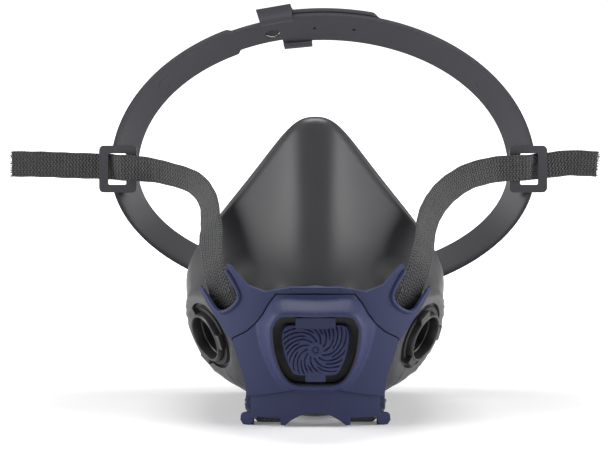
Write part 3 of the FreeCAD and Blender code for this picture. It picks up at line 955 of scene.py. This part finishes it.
class BuildShield(bpy.types.Operator):
    """Mould the exhaust shield with its spiral grooves and its two tabs"""

    bl_idname = "respirator.shield"
    bl_label = "Exhaust shield"

    def execute(self, context):
        edge = spline(vectors(mirrored(SHIELD_EDGE)), 16, closed=True)
        groove = sizes().groove / MM
        rings = 84
        rows = []
        for ring in range(rings, 0, -1):
            share = ring / rings
            row = []
            for tip in edge:
                spot = SWIRL_CENTRE + (tip - SWIRL_CENTRE) * share
                gap = (tip - spot).length
                dome = SHIELD_FRONT + 0.9 * share * share
                fall = 0.9 * (1 - smoothstep(gap, 0.0, 0.9)) ** 2
                y = dome + fall + groove * swirl(spot.x, spot.y, gap)
                row.append(Vector((spot.x, y, spot.y)))
            rows.append(row)
        back = []
        for tip in edge:
            height = VALVE_HEIGHT + (tip.y - VALVE_HEIGHT) * 0.99
            back.append(Vector((tip.x * 0.99, SHIELD_FRONT + 2.9, height)))
        made = Shape()
        made.grid([back] + rows, caps=True)
        for half, low, high, corner, face in SHIELD_TABS:
            edge = rounded([(-half, low), (half, low), (half, high), (-half, high)], corner)
            made.join(plate(edge, [], 1.5, lambda x, z: face, lambda x, z: TAB_BACK))
        plug = made.object("exhaust_shield_swirl", "yoke_plastic", sharp=45)
        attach(plug, "cover")
        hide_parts("exhaust_shield")
        return {"FINISHED"}


# ---- filter ports ----


class BuildPorts(bpy.types.Operator):
    """Turn the two bayonet port rings with their lugs"""

    bl_idname = "respirator.ports"
    bl_label = "Filter ports"

    def execute(self, context):
        profile = [
            (9.8, -7.4), (10.1, -7.5), (14.2, -7.5), (14.5, -7.2), (14.5, -6.4), (14.2, -6.1), (11.95, -6.1),
            (11.95, 0.1), (14.3, 0.1), (14.6, 0.4), (14.6, 0.9), (14.3, 1.2), (12.2, 1.2), (11.95, 1.5),
            (11.95, 4.2), (11.6, 4.9), (11.1, 5.2), (10.5, 5.1), (10.2, 4.6), (10.2, 0.3), (9.8, 0.0),
        ]
        for side, word in ((-1, "left"), (1, "right")):
            made = lathe(profile)
            for lug in range(3):
                turn = Matrix.Rotation(FULL * lug / 3, 4, "Z")
                made.join(block((11.2, -3.6, 2.7), (14.6, 3.6, 4.9)).move(turn))
                made.join(block((11.2, -3.6, 1.1), (13.4, -2.0, 2.8)).move(turn))
            ringed = made.move(port_matrix(side)).object(f"{word}_port_ring", "port_plastic")
            bevelled(ringed, 0.35)
            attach(ringed, "mask")
            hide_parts(f"{word}_port_insert")
        return {"FINISHED"}


# ---- webbing ----


def behind_yoke(side, x, z, back=1.4):
    radius = BASE_SKIN[0] - back
    return (side * x, ROLL - math.sqrt(radius**2 - x**2), z)


def neck_stations(side):
    """Webbing from the notch down behind the yoke, under the chin and back to the neck clasp."""
    out = (side, 0.45, -0.3)
    level = (side, 0, 0)
    stations = [
        (behind_yoke(side, 42.6, 58), out),
        (behind_yoke(side, 39.2, 51), out),
        (behind_yoke(side, 31.0, 36), (side, 0.4, -0.3)),
        (behind_yoke(side, 23.6, 22.5), (side, 0.3, -0.3)),
        (behind_yoke(side, 20, 14), (side, 0.2, -0.1)),
        (behind_yoke(side, 19.8, 7), (side, 0.24, 0)),
        (behind_yoke(side, 20, 3.4, 2.8), level),
        ((side * 20.4, -33.4, 0.95), level),
        ((side * 21, -29.5, 0.85), level),
        ((side * 24, -18, 0.75), level),
        ((side * 26.5, 0, 0.75), level),
        ((side * 26.5, 40, 0.75), level),
        ((side * 27.5, 56, 4.8), (side, 0, 0.8)),
        ((side * 28, 75, 6.5), (side * 0.15, 0, 1)),
    ]
    for degrees, height in ((26, 6.6), (52, 7.2)):
        turn = math.radians(degrees)
        stations.append(((side * 28 * math.cos(turn), 75 + 28 * math.sin(turn), height), (0, 0, 1)))
    for x, y in ((12.4, 99.6), (9.9, 101.2), (9.6, 103.6)):
        stations.append(((side * x, y, 7.8), (0, 0, 1)))
    return stations


LEFT_HEAD = [
    ((-43.4, -28.0, 61), (-1, 0.5, -0.62)),
    ((-46.6, -22, 70), (-1, 0.6, -0.8)),
    ((-47.9, -10, 79.6), (-0.62, 0.77, 0)),
    ((-48.6, 4, 86.2), (-0.44, 0.88, 0)),
    ((-50, 20, 93.2), (-0.42, 0.85, -0.1)),
    ((-53.8, 33, 98), (-0.49, 0.84, -0.35)),
    ((-59.5, 43, 100.6), (-0.45, 0.7, -0.55)),
    ((-67, 50, 102.2), (-0.3, 0.5, -0.8)),
    ((-78, 56, 103.9), (0, 0.25, -1)),
    ((-89, 58.6, 104.5), (0, 0, -1)),
    ((-94, 60.4, 104.5), (0, 0, -1)),
    ((-99, 64.0, 104.5), (0, 0, -1)),
    ((-105, 64.8, 104.6), (0, 0, -1)),
    ((-118, 66, 104.8), (0, 0, -1)),
    ((-132, 67, 105.2), (0, 0, -1)),
    ((-146, 67.5, 105.3), (0, 0, -1)),
]
RIGHT_HEAD = [
    ((43.4, -28.0, 61), (1, 0.5, -0.62)),
    ((47.4, -23, 70), (1, 0.5, -0.8)),
    ((50.0, -12, 77.8), (0.7, 0.4, -0.6)),
    ((51.4, 2, 84.6), (0.7, 0.45, -0.6)),
    ((54, 15, 89.6), (0.7, 0.4, -0.62)),
    ((59, 27, 95), (0.68, 0.3, -0.66)),
    ((65.5, 38, 99), (0.6, 0.2, -0.75)),
    ((74, 47, 102.4), (0.4, 0.1, -0.9)),
    ((86, 55.5, 104.2), (0.2, 0, -1)),
    ((96.4, 58.6, 104.5), (0, 0, -1)),
    ((102, 60.2, 104.5), (0, 0, -1)),
    ((107, 64.0, 104.6), (0, 0, -1)),
    ((113, 64.8, 105.1), (0, 0, -1)),
    ((123, 66, 106), (0, 0, -1)),
    ((136, 67, 105.3), (0, 0, -1)),
]


def web_profile():
    """Across the webbing: a flat band with a rounded rib along each edge, as (across, up)."""
    half, thick = sizes().web_width / MM / 2, sizes().web_thickness / MM / 2
    upper = []
    steps = 18
    for step in range(steps + 1):
        x = -half + 2 * half * step / steps
        gap = half - abs(x)
        height = thick * (0.35 + 0.65 * math.sqrt(min(gap / 0.55, 1.0)))
        groove = 0.28 * thick * math.exp(-(((gap - 1.15) / 0.28) ** 2))
        upper.append((x, height - groove))
    return upper + [(x, -y) for x, y in reversed(upper)]


def web_shape(stations, rng):
    places = spline([Vector(place) for place, _ in stations], 12)
    acrosses = spline([Vector(across) for _, across in stations], 12)
    profile = web_profile()
    made = Shape()
    rows, lie = [], []
    run = 0.0
    for index, place in enumerate(places):
        along = (places[min(index + 1, len(places) - 1)] - places[max(index - 1, 0)]).normalized()
        wide = acrosses[index] - along * acrosses[index].dot(along)
        wide.normalize()
        face = along.cross(wide)
        if index:
            run += (place - places[index - 1]).length
        sway = 0.10 * math.sin(run * 0.35) + 0.06 * math.sin(run * 1.1)
        stretch = 1 + 0.012 * math.sin(run * 0.6)
        rows.append([
            place + wide * (x * stretch) + face * (y + sway * (1 - abs(x) / 8)) for x, y in profile
        ])
        lie += [(x * MM, run * MM) for x, _ in profile]
    made.grid(rows, caps=True)
    made.lie = lie
    fray(made, places[-1], (places[-1] - places[-2]).normalized(), wide, face, rng)
    return made


def fray(made, end, along, wide, face, rng):
    """Loose threads at a cut end."""
    half, thick = sizes().web_width / MM / 2, sizes().web_thickness / MM / 2
    for _ in range(110):
        root = end + wide * rng.uniform(-half, half) * 0.98 + face * rng.uniform(-thick, thick) * 0.8
        reach = rng.uniform(0.4, 1.7)
        lean = wide * rng.uniform(-0.5, 0.5) + face * rng.uniform(-0.45, 0.45)
        middle = root + (along + lean * 0.6).normalized() * reach * 0.55
        tip = middle + (along + lean * 1.8).normalized() * reach * 0.55
        thin = rng.uniform(0.07, 0.12)
        rows = []
        for spot, size in ((root - along * 0.4, thin), (middle, thin * 0.85), (tip, thin * 0.35)):
            rows.append([spot + (wide * math.cos(a) + face * math.sin(a)) * size for a in (0.0, 2.1, 4.2)])
        made.grid(rows, caps=True)


class BuildStraps(bpy.types.Operator):
    """Lay the elastic webbing: each side is one length from the cradle to the neck clasp"""

    bl_idname = "respirator.straps"
    bl_label = "Elastic straps"

    def execute(self, context):
        for side, word, head in ((-1, "left", LEFT_HEAD), (1, "right", RIGHT_HEAD)):
            rng = random.Random(11 + side)
            stations = list(reversed(neck_stations(side))) + head
            strap = web_shape(stations, rng).object(f"{word}_elastic", "webbing", sharp=70, keep_lie=True)
            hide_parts(f"{word}_head_strap", f"{word}_neck_strap")
            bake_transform(strap)
        return {"FINISHED"}


# ---- cradle ----

HOOP_WIDE, HOOP_TOP, HOOP_BOTTOM = 102.5, 75.5, 63.0
HOOP_DEPTH, HOOP_CONE, HOOP_SKIN = 11.0, 12.0, 1.6
TONGUE_START, TONGUE_END = -20, 28
TONGUE_LIFT, TONGUE_SKIN = 1.9, 1.3
KEEPER_WALL = 1.3
PEG_X, PEG_SHARE = -26.5, 0.55
PIN_HOLES = (-4.5, 16.0)


def hoop_point(turn, share, lift=0.0):
    """On the hoop's outer face: share runs from its front edge to its rear edge, lift is outward."""
    shrink = HOOP_CONE * share - lift
    x = (HOOP_WIDE - shrink) * math.cos(turn)
    tall = HOOP_TOP if math.sin(turn) > 0 else HOOP_BOTTOM
    z = (tall - shrink) * math.sin(turn)
    return Vector((x, -HOOP_DEPTH / 2 + HOOP_DEPTH * share, z))


def band_section(low_share, high_share, lift, skin_depth):
    """Round the band's thin section, as (share, lift)."""
    soft = 0.035
    middle = [low_share + (high_share - low_share) * k / 6 for k in range(1, 6)]
    outer = [(low_share + soft, lift)] + [(s, lift) for s in middle] + [(high_share - soft, lift)]
    inner = [(s, down - skin_depth) for s, down in reversed(outer)]
    ends_high = [(high_share, lift - 0.4), (high_share, lift - skin_depth + 0.4)]
    ends_low = [(low_share, lift - skin_depth + 0.4), (low_share, lift - 0.4)]
    return outer + ends_high + inner + ends_low


def tongue_width(x):
    """The band narrows where it becomes the tongue, up to the belt loop."""
    return 0.13 * smoothstep(x, -47, -44.5) * smoothstep(x, -15.5, -17)


def hoop_shape():
    rows = []
    count = 320
    for index in range(count):
        turn = FULL * index / count
        x = HOOP_WIDE * math.cos(turn)
        slim = tongue_width(x) if math.sin(turn) > 0 else 0.0
        section = band_section(slim * 0.8, 1 - slim, 0.0, HOOP_SKIN)
        rows.append([hoop_point(turn, share, lift) for share, lift in section])
    made = Shape()
    made.grid(rows, round_rows=True)
    return made


def tongue_shape():
    """The free end of the tongue, lying outside the band from the belt loop on."""
    rows = []
    start, end = math.acos(TONGUE_START / HOOP_WIDE), math.acos(TONGUE_END / HOOP_WIDE)
    count = 40
    for index in range(count + 1):
        share = index / count
        turn = start + (end - start) * share
        pinch = 0.18 * smoothstep(share, 0.9, 1.0)
        section = band_section(-0.02 + pinch, 0.86 - pinch, TONGUE_LIFT, TONGUE_SKIN)
        rows.append([hoop_point(turn, s, lift) for s, lift in section])
    made = Shape()
    made.grid(rows, caps=True)
    return made


def belt_loop_shape():
    """The keeper: an open channel round the outside of both ends of the band, with turned-in lips."""
    path = [
        (0.02, -3.0), (-0.11, -2.7), (-0.17, -1.4), (-0.17, 1.9), (-0.1, 2.9), (0.5, 3.2), (1.08, 3.0),
        (1.18, 2.2), (1.18, -1.4), (1.12, -2.7), (0.98, -3.0),
    ]
    line = spline([Vector(spot) for spot in path], 3)
    middle = Vector((0.5, 0.0))
    rows = []
    for share, lift in line:
        inward = Vector(((middle.x - share) * 16, middle.y - lift)).normalized() * KEEPER_WALL
        thin = (share + inward.x / 16, lift + inward.y)
        ring = []
        for start, spot in ((-31, (share, lift)), (-15, (share, lift)), (-15, thin), (-31, thin)):
            turn = math.acos((start + 9 * min(max(share, 0.0), 1.0)) / HOOP_WIDE)
            ring.append(hoop_point(turn, *spot))
        rows.append(ring)
    made = Shape()
    made.grid(rows, caps=True)
    return made


def inner_face(x, share, lift):
    """A frame on the hoop's inner face near its top, with Z square to the face."""
    turn = math.acos(x / HOOP_WIDE)
    lean = Matrix.Rotation(-math.atan2(HOOP_CONE, HOOP_DEPTH), 4, "X")
    return Matrix.Translation(hoop_point(turn, share, -HOOP_SKIN + lift)) @ lean


def mould_mark(x):
    """A faint raised ring left by an ejector pin, high on one side of the hoop."""
    turn = math.acos(x / HOOP_WIDE)
    here = hoop_point(turn, 0.5, -HOOP_SKIN)
    ahead = hoop_point(turn + 0.01, 0.5, -HOOP_SKIN) - here
    back = hoop_point(turn, 0.9, -HOOP_SKIN) - here
    out = ahead.cross(back).normalized()
    turned = out.to_track_quat("Z", "X").to_matrix().to_4x4()
    ring = lathe([(2.7, -0.2), (2.8, 0.14), (3.0, 0.2), (3.2, 0.14), (3.3, -0.2)], 40)
    return ring.move(Matrix.Translation(here) @ turned)


def side_loop_shape(side):
    """The rounded frame at the side of the hoop that the webbing threads through."""
    def corners(x0, x1, half, radius):
        x0, x1 = sorted((side * x0, side * x1))
        return rounded([(x0, -half), (x1, -half), (x1, half), (x0, half)], radius, 6)

    outer = corners(89.5, 107.6, 11.3, 2.6)
    slot = corners(94.6, 103.2, 7.5, 0.8)
    front = -HOOP_DEPTH / 2
    return plate(outer, [slot], 2.2, lambda x, z: front - 0.2, lambda x, z: front + 2.0)


class BuildCradle(bpy.types.Operator):
    """Mould the oval crown cradle with its side loops, tongue and belt loop"""

    bl_idname = "respirator.cradle"
    bl_label = "Crown cradle"

    def execute(self, context):
        hoop = hoop_shape().object("cradle_hoop", "cradle_plastic", sharp=50)
        tools = Shape()
        for side in (-1, 1):
            low_x, high_x = sorted((side * 94.5, side * 103.3))
            tools.join(block((low_x, -9, -7.5), (high_x, 9, 7.5)))
        pin_holes = [(x, 0.5, 0.8, 0.6) for x in PIN_HOLES]
        for x, share, wide, tall in [(PEG_X, PEG_SHARE, 3.5, 2.4)] + pin_holes:
            squash = Matrix.Diagonal((wide, tall, 1, 1))
            tools.join(rod(1, -5, 5, 32).move(inner_face(x, share, 0) @ squash))
        cut(hoop, tools)
        # Painted shade: black plugs set inside the peg hole and the pin holes stand in for the dark seen
        # through them.
        squash = Matrix.Diagonal((3.62, 2.52, 1, 1))
        shade_plugs = rod(1, -0.5, 0.5, 32).move(inner_face(PEG_X, PEG_SHARE, 1.2) @ squash)
        for x in PIN_HOLES:
            shade_plugs.join(rod(0.8, -0.5, 0.5, 20).move(inner_face(x, 0.5, 1.2)))
        plug = shade_plugs.move(cradle_matrix()).object("cradle_hole_shade_plugs", "gasket_rubber")
        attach(plug, "harness")
        bits = Shape()
        bits.join(side_loop_shape(-1))
        bits.join(side_loop_shape(1))
        marks = mould_mark(-82)
        marks.join(mould_mark(82))
        marks = marks.move(cradle_matrix()).object("cradle_mould_marks", "cradle_plastic", sharp=80)
        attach(marks, "harness")
        loops = bits.move(cradle_matrix()).object("cradle_side_loops", "cradle_plastic")
        bevelled(loops, 0.5)
        hoop.data.transform(Matrix.Scale(1 / MM, 4))
        hoop.data.transform(cradle_matrix())
        hoop.data.transform(Matrix.Scale(MM, 4))
        tongue = tongue_shape().move(cradle_matrix()).object("cradle_tongue_end", "cradle_plastic", sharp=50)
        keeper = belt_loop_shape().move(cradle_matrix())
        keeper = keeper.object("cradle_belt_loop", "cradle_plastic", sharp=40)
        bevelled(keeper, 0.3, 2)
        for piece in (hoop, loops, tongue, keeper):
            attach(piece, "harness")
        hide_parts("cradle_band")
        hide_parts("cradle_tongue")
        return {"FINISHED"}


# ---- finishes on the CAD nodes that stay ----


REBUILT = (
    "facepiece", "face_seal", "yoke", "front_cover", "exhaust_shield", "cradle_band", "cradle_tongue",
)


class FinishNodes(bpy.types.Operator):
    """Give the valves, gaskets, pins and neck clasp their materials"""

    bl_idname = "respirator.finishes"
    bl_label = "Valves, gaskets and clasp"

    def execute(self, context):
        for entry in frame["record"]["subparts"]:
            node = entry["node"]
            if node in REBUILT or node.endswith(("_strap", "_port_insert")):
                continue
            kept = frame["nodes"][node]
            for slot in kept.material_slots:
                slot.material = material(entry["material_slot"])
        return {"FINISHED"}


# ---- studio ----


FLOOR_REACH = 14.0
WORLD_STRENGTH = 0.12
SIDE_POWER, BACK_POWER = 21, 13
CAMERA_LENS, CAMERA_DISTANCE = 192, 1.46
CAMERA_RISE = math.radians(9)
CAMERA_TARGET = Vector((-0.0052, -0.040, 0.0886))


def aim(thing, target):
    thing.rotation_euler = (Vector(target) - thing.location).to_track_quat("-Z", "Y").to_euler()


def softbox(name, place, target, width, height, power):
    light = bpy.data.lights.new(name, "AREA")
    light.shape = "RECTANGLE"
    light.size = width
    light.size_y = height
    light.energy = power
    made = bpy.data.objects.new(name, light)
    made.location = place
    bpy.context.scene.collection.objects.link(made)
    aim(made, target)


class BuildStage(bpy.types.Operator):
    """Set the pale floor, the soft studio lights and the camera"""

    bl_idname = "respirator.stage"
    bl_label = "Studio"

    def execute(self, context):
        scene = context.scene
        mesh = bpy.data.meshes.new("studio_floor")
        corners = [(x * FLOOR_REACH, z * FLOOR_REACH, 0) for x, z in ((-1, -1), (1, -1), (1, 1), (-1, 1))]
        mesh.from_pydata(corners, [], [(0, 1, 2, 3)])
        floor = bpy.data.objects.new("studio_floor", mesh)
        scene.collection.objects.link(floor)
        mesh.materials.append(material("studio_floor"))
        world = bpy.data.worlds.new("studio")
        world.use_nodes = True
        world.node_tree.nodes["Background"].inputs["Color"].default_value = (1, 1, 1, 1)
        world.node_tree.nodes["Background"].inputs["Strength"].default_value = WORLD_STRENGTH
        scene.world = world
        middle = (0, 0, 0.07)
        softbox("left_softbox", (-1.3, -0.2, 0.60), middle, 0.7, 1.0, SIDE_POWER)
        softbox("right_softbox", (1.3, -0.2, 0.60), middle, 0.7, 1.0, SIDE_POWER)
        softbox("back_softbox", (0, 0.62, 1.35), middle, 0.9, 0.5, BACK_POWER)
        camera = bpy.data.cameras.new("camera")
        camera.lens = CAMERA_LENS
        camera.sensor_width = 36
        view = bpy.data.objects.new("camera", camera)
        scene.collection.objects.link(view)
        back = Vector((0, -math.cos(CAMERA_RISE), math.sin(CAMERA_RISE)))
        view.location = CAMERA_TARGET + back * CAMERA_DISTANCE
        aim(view, CAMERA_TARGET)
        scene.camera = view
        scene.view_settings.view_transform = "Standard"
        return {"FINISHED"}


class RespiratorPanel(bpy.types.Panel):
    """Lists the pieces of the respirator and the values that shape them"""

    bl_idname = "VIEW3D_PT_respirator"
    bl_label = "Respirator"
    bl_space_type = "VIEW_3D"
    bl_region_type = "UI"
    bl_category = "Respirator"

    def draw(self, context):
        for step in STEPS:
            self.layout.operator(step.bl_idname)
        for group in (context.scene.respirator_sizes, context.scene.respirator_colours):
            for name in group.__annotations__:
                self.layout.prop(group, name)


STEPS = (
    BuildStage, BuildFacepiece, BuildYoke, BuildCover, BuildShield, BuildPorts, BuildCradle, BuildStraps,
    FinishNodes,
)
CLASSES = (RespiratorSizes, RespiratorColours) + STEPS + (RespiratorPanel,)


def register():
    for item in CLASSES:
        bpy.utils.register_class(item)
    bpy.types.Scene.respirator_sizes = PointerProperty(type=RespiratorSizes)
    bpy.types.Scene.respirator_colours = PointerProperty(type=RespiratorColours)


def unregister():
    del bpy.types.Scene.respirator_colours
    del bpy.types.Scene.respirator_sizes
    for item in reversed(CLASSES):
        bpy.utils.unregister_class(item)


def main():
    register()
    for step in STEPS:
        group, name = step.bl_idname.split(".")
        getattr(getattr(bpy.ops, group), name)()


if __name__ == "__main__":
    main()
